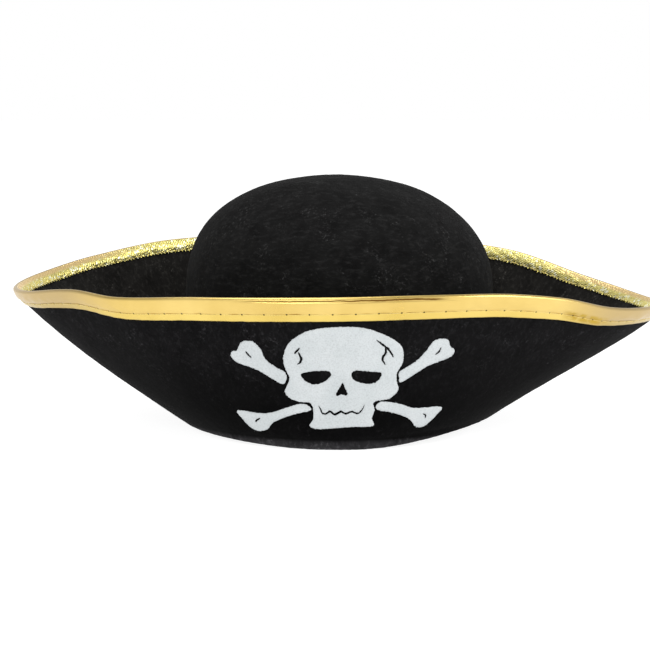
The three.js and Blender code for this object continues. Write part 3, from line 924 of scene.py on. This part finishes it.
def sweatband():
    u = np.linspace(0, TURN, 720, endpoint=False)
    z = np.linspace(BAND_BOTTOM, BAND_TOP, 24)
    height = (z - BAND_BOTTOM) / (BAND_TOP - BAND_BOTTOM)
    wave = ripple(around_head(u, 0, 0), 45, 10, 71)[:, None] * BAND_WAVE * height**1.5
    inside = np.stack([in_base(u, 0, h) for h in z], 1)
    outside = np.stack([in_base(u, BAND, h) for h in z], 1)
    normal = head_normal(u)[:, None]
    inside, outside = inside + normal * wave[..., None], outside + normal * wave[..., None]
    top = (inside[:, -1:] + outside[:, -1:]) / 2 + BAND_ROUNDING
    bottom = (inside[:, :1] + outside[:, :1]) / 2 - BAND_ROUNDING
    sections = np.concatenate([inside, top, outside[:, ::-1], bottom], 1)
    piece = ring("sweatband_ribbon", sections, GROSGRAIN, BAND_ROUND)
    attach(piece, "hat")
    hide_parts("sweatband")


def wall_seam(name, node, out, height, facing, pitch, radius):
    """A row of stitches round the head opening; facing -1 looks towards the head and 1 away from it."""
    angles = evenly(lambda u: in_base(u, out, height), lambda u: 0 * u + pitch)
    u = between(angles, 7, trim=0.1)
    path = in_base(u, out, height)
    piece = stitches(name, path, head_normal(u) * facing, radius, 0.3, BLACK_THREAD)
    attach(piece, "hat")
    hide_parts(node)


sweatband()
wall_seam("sweatband_stitches", "sweatband_stitch_thread", -0.05, BAND_SEAM_HEIGHT, -1, 3.6, 0.25)
wall_seam("headline_stitches", "headline_seam_thread", WALL_MIDDLE + FELT / 2 + 0.25,
          HEADLINE_SEAM_HEIGHT, 1, 4.2, 0.28)

# ---------------- print on the front

SKULL = [
    (2, 71.5), (13, 71), (22, 68), (29, 64.5), (34, 60), (35, 54), (34, 49.5), (31.5, 45), (31.5, 40),
    (32.5, 36), (31, 33), (27, 30), (19, 28.5), (19.5, 23.5), (18, 19), (19, 16), (18, 14.2), (6.5, 14),
    (-9.5, 12.8), (-14.5, 13.2), (-16, 15), (-14, 19), (-15, 27.5), (-21.5, 28.5), (-26.5, 30.3),
    (-29.5, 34), (-27.3, 40), (-27, 43), (-29, 47), (-30.2, 53), (-28.5, 60), (-24, 65), (-17, 69),
    (-8, 71),
]
LEFT_EYE = [(-20.5, 44.7), (-18.5, 40.8), (-13, 38.6), (-7, 41), (-4.2, 44.5), (-6, 46.5), (-13, 46.5)]
RIGHT_EYE = [(23, 45.2), (15, 46.3), (9, 46.8), (6.6, 44.3), (9, 40.8), (16, 38.9), (21, 40.5)]
NOSE = [(2, 39.8), (0.3, 37), (-1.5, 33.5), (-1, 32.1), (1.4, 33), (3.6, 32.2), (4.7, 33.5), (3.4, 36.5)]
BONES = {
    "bone_print_upper_left": [
        (-59, 54), (-58, 56.5), (-55.5, 57), (-53.5, 61.5), (-50, 62.8), (-46, 62), (-42.5, 58),
        (-40, 52.5), (-34, 48), (-29.8, 45.6), (-28.4, 42.5), (-30, 38.6), (-34, 40), (-44, 46),
        (-53.5, 49.3), (-57, 51),
    ],
    "bone_print_upper_right": [
        (33, 45.6), (41.5, 51), (47, 56.5), (51, 62), (55, 63.8), (59.5, 62.8), (60.5, 59.3),
        (63, 56.5), (61, 53), (54, 50.4), (47, 47.5), (40, 43), (33.5, 39.3), (32.8, 42),
    ],
    "bone_print_lower_left": [
        (-56.4, 20.6), (-53.8, 21.5), (-43.5, 20.6), (-36.5, 21.6), (-28, 25), (-20.5, 27.3),
        (-16.6, 26.2), (-15.6, 23.6), (-24, 21.2), (-31, 18.4), (-36.4, 15.4), (-39.4, 11.4),
        (-43.6, 9.8), (-48, 11), (-52.6, 15.4),
    ],
    "bone_print_lower_right": [
        (57, 22.2), (54.3, 23.8), (41.5, 23.8), (34.5, 26.4), (26, 28.4), (21.2, 27.6), (20.7, 24),
        (28.5, 22), (36, 19.2), (40, 16), (41.8, 13), (45, 11.9), (49, 13.6), (54, 18.8),
    ],
}
# Bare lines in the ink: the points of each and its width in the middle
SKULL_LINES = [
    ([(-11.4, 26.7), (-10.1, 24.6), (-9.2, 22.2), (-7, 21.7), (-4.9, 23.2), (-2.6, 21.4), (-0.5, 22.2),
      (1.3, 23), (3.8, 21.8), (7, 23), (10.1, 21.9), (12.4, 23.6), (14.1, 27)], 1.35),
    ([(20.1, 64), (24, 61), (27, 58.3), (29.6, 54)], 1.35),
    ([(25.2, 60), (25.3, 57), (23.5, 53.2), (25.2, 49.8)], 1.4),
    ([(-21.2, 59.5), (-22.8, 57.8), (-24.2, 56)], 1.3),
    ([(-22.2, 57.2), (-20.6, 54), (-20.8, 51.7), (-22.6, 50)], 1.4),
]
BONE_LINES = {
    "bone_print_upper_left": [([(-50.9, 56.9), (-49.5, 55), (-47.3, 52.8)], 1.0)],
    "bone_print_upper_right": [([(55.6, 58.8), (54.5, 56.4), (52.1, 54.5)], 1.0)],
    "bone_print_lower_left": [([(-43.3, 17.8), (-45.4, 16.3), (-45.8, 14.9)], 1.1)],
    "bone_print_lower_right": [([(46.4, 20), (47.8, 18.9), (47.4, 17.2)], 1.1)],
}
INK_STEP, INK_EDGE_STEP, INK_EDGE_JITTER, INK_JITTER = 1.1, 0.55, 0.11, 0.2
INK_CLEAR_OF_EDGE = 0.45
INK_PROUD, INK_PROUD_AT_EDGE, INK_SUNK = 0.16, 0.03, 0.25


def spline(points, parts, closed=True):
    """Catmull-Rom curve through the points."""
    p = np.array(points, float)
    if closed:
        before, after, beyond = np.roll(p, 1, 0), np.roll(p, -1, 0), np.roll(p, -2, 0)
        start = p
    else:
        padded = np.concatenate([p[:1] * 2 - p[1:2], p, p[-1:] * 2 - p[-2:-1]])
        before, start, after, beyond = padded[:-3], padded[1:-2], padded[2:-1], padded[3:]
    s = (np.arange(parts) / parts)[:, None, None]
    curve = 0.5 * (2 * start + (after - before) * s + (2 * before - 5 * start + 4 * after - beyond) * s**2
                   + (3 * start - before - 3 * after + beyond) * s**3)
    curve = curve.transpose(1, 0, 2).reshape(-1, 2)
    return curve if closed else np.concatenate([curve, p[-1:]])


def stroke(points, width):
    """The outline of a bare line: a thin lens along the points, widest in the middle."""
    centre = spline(points, 5, closed=False)
    along = unit(np.gradient(centre, axis=0))
    side = np.stack([-along[:, 1], along[:, 0]], -1)
    s = np.linspace(0, 1, len(centre))
    half = width / 2 * (0.25 + 0.75 * np.sin(math.pi * s) ** 0.7)
    return np.concatenate([centre + side * half[:, None], (centre - side * half[:, None])[::-1]])


def inside_outline(points, outline):
    """Which points lie inside the closed outline."""
    x, z = points[:, :1], points[:, 1:]
    x0, z0 = outline[:, 0], outline[:, 1]
    x1, z1 = np.roll(x0, -1), np.roll(z0, -1)
    crosses = ((z0 <= z) & (z1 > z)) | ((z1 <= z) & (z0 > z))
    where = x0 + (z - z0) * (x1 - x0) / np.where(z1 == z0, 1e-9, z1 - z0)
    return (crosses & (x < where)).sum(1) % 2 == 1


def resampled(outline, step):
    closed = np.concatenate([outline, outline[:1]])
    run = np.concatenate([[0], np.cumsum(np.linalg.norm(np.diff(closed, axis=0), axis=1))])
    count = max(8, round(run[-1] / step))
    want = np.arange(count) * run[-1] / count
    return np.stack([np.interp(want, run, closed[:, k]) for k in range(2)], -1)


depsgraph = bpy.context.evaluated_depsgraph_get()
brim_tree = BVHTree.FromObject(brim_piece, depsgraph)


def on_front(points):
    """Points of the brim's front face, and its normals, at each x and z in millimetres."""
    places, normals = [], []
    for x, z in points:
        hit, normal, _, _ = brim_tree.ray_cast(Vector((x * MM, -0.3, z * MM)), Vector((0, 1, 0)))
        places.append(np.array(hit) / MM)
        normals.append(np.array(normal))
    return np.array(places), np.array(normals)


def in_ink(points, loops):
    """Which points lie inside the first loop and outside the others, which are its holes."""
    inside = inside_outline(points, loops[0])
    for hole in loops[1:]:
        inside &= ~inside_outline(points, hole)
    return inside


def runs_clockwise(triangle):
    """Whether a triangle runs clockwise as seen from the front of the hat."""
    a, b, c = triangle
    return (b[0] - a[0]) * (c[1] - a[1]) - (b[1] - a[1]) * (c[0] - a[0]) < 0


def ink(name, outline, holes, draw):
    """A printed patch as a thin body in the face of the felt, with its edge a little ragged."""
    loops = [resampled(loop, INK_EDGE_STEP) for loop in [outline, *holes]]
    loops = [loop + draw.normal(scale=INK_EDGE_JITTER, size=loop.shape) for loop in loops]
    low, high = loops[0].min(0), loops[0].max(0)
    grid = np.stack(np.meshgrid(np.arange(low[0], high[0], INK_STEP),
                                np.arange(low[1], high[1], INK_STEP)), -1).reshape(-1, 2)
    grid = grid + draw.uniform(-INK_JITTER, INK_JITTER, grid.shape)
    rim = np.concatenate(loops)
    away = np.min(np.linalg.norm(grid[:, None] - rim[None], axis=-1), axis=1) > INK_CLEAR_OF_EDGE
    points = np.concatenate([rim, grid[in_ink(grid, loops) & away]])
    edges, first = [], 0
    for loop in loops:
        count = len(loop)
        edges += [(first + k, first + (k + 1) % count) for k in range(count)]
        first += count
    flat, _, faces, _, _, _ = delaunay_2d_cdt([Vector(p) for p in points], edges, [], 0, 1e-4)
    flat = np.array([tuple(p) for p in flat])
    faces = np.array([tuple(face) for face in faces if len(face) == 3])
    faces = faces[in_ink(flat[faces].mean(1), loops)]
    used, index = np.unique(faces, return_inverse=True)
    flat, faces = flat[used], index.reshape(faces.shape)
    surface, normals = on_front(flat)
    # an edge that only one triangle has, in its own direction, is on the border; a dict keeps its order
    used_edges = {(a, b): True for face in faces for a, b in zip(face, np.roll(face, -1))}
    border = [(a, b) for a, b in used_edges if (b, a) not in used_edges]
    on_border = np.zeros(len(flat), bool)
    on_border[[a for a, _ in border]] = True
    proud = np.where(on_border, INK_PROUD_AT_EDGE, INK_PROUD) + 0.03 * ripple(surface, 2.5, 20, 81)
    top = surface + normals * proud[:, None]
    below = surface - normals * INK_SUNK
    count = len(flat)
    turned = runs_clockwise(flat[faces[0]])
    front = faces[:, ::-1] if turned else faces
    walls = [(a, b, b + count, a + count) for a, b in border]
    if not turned:
        walls = [wall[::-1] for wall in walls]
    every = [tuple(f) for f in front] + [tuple(f[::-1] + count) for f in front] + walls
    every = [tuple(int(v) for v in face) for face in every]
    piece = mesh_object(name + "_ink", np.concatenate([top, below]), every, INK)
    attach(piece, "hat")
    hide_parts(name)


skull_holes = [spline(hole, 5) for hole in (LEFT_EYE, RIGHT_EYE, NOSE)]
skull_holes += [stroke(points, width) for points, width in SKULL_LINES]
ink("skull_print", spline(SKULL, 4), skull_holes, rng)
for bone, points in BONES.items():
    ink(bone, spline(points, 4), [stroke(*line) for line in BONE_LINES[bone]], rng)

# ---------------- care label

LABEL_WIDTH, LABEL_HEIGHT, LABEL_THICKNESS, LABEL_TOP, LABEL_BACK = 25.0, 20.0, 0.6, 28.0, 98.8
LABEL_COLUMNS, LABEL_ROWS, LABEL_BOW = 33, 28, 0.35
LABEL_STITCH, LABEL_STITCH_PITCH = 1.8, 2.2


def care_label():
    """A folded satin tab, thickest half way down and bowed a little into the head opening."""
    x = np.linspace(-LABEL_WIDTH / 2, LABEL_WIDTH / 2, LABEL_COLUMNS)
    s = np.linspace(0, 1, LABEL_ROWS)
    half = LABEL_THICKNESS / 2 * (0.55 + 0.45 * np.sin(math.pi * s) ** 0.6)
    z = LABEL_TOP - LABEL_HEIGHT * s
    middle = LABEL_BACK - LABEL_THICKNESS / 2
    front = np.stack(np.broadcast_arrays(x[:, None], (middle - half)[None], z[None]), -1)
    back = front.copy()
    back[..., 1] = middle + half
    bow = LABEL_BOW * np.sin(math.pi * s) * np.cos(x[:, None] / LABEL_WIDTH * 2)
    front[..., 1] -= bow
    back[..., 1] -= bow
    loops = np.concatenate([front, back[:, ::-1]], 1)
    columns, rows = loops.shape[:2]
    faces = []
    for i in range(columns - 1):
        for j in range(rows):
            here, following, k = i * rows, (i + 1) * rows, (j + 1) % rows
            faces.append((here + j, following + j, following + k, here + k))
    for i in (0, columns - 1):
        side = [(i * rows + j, i * rows + j + 1, i * rows + rows - 2 - j, i * rows + rows - 1 - j)
                for j in range(rows // 2 - 1)]
        faces += [face if i else face[::-1] for face in side]
    piece = mesh_object("care_label_ribbon", loops.reshape(-1, 3), faces, SATIN)
    work = bmesh.new()
    work.from_mesh(piece.data)
    bmesh.ops.recalc_face_normals(work, faces=work.faces)
    work.to_mesh(piece.data)
    work.free()
    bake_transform(piece)
    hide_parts("care_label")


def label_stitches():
    x = np.arange(-11, 11, LABEL_STITCH_PITCH)[:, None] + np.linspace(0, LABEL_STITCH, 7)
    path = np.stack([x, 0 * x + LABEL_BACK - LABEL_THICKNESS - 0.02, 0 * x + LABEL_TOP + 0.4], -1)
    normals = np.tile(np.array([0.0, -1, 0]), (*x.shape, 1))
    piece = stitches("care_label_thread", path, normals, 0.2, 0.25, BLACK_THREAD)
    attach(piece, "hat")
    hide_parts("care_label_stitches")


care_label()
label_stitches()
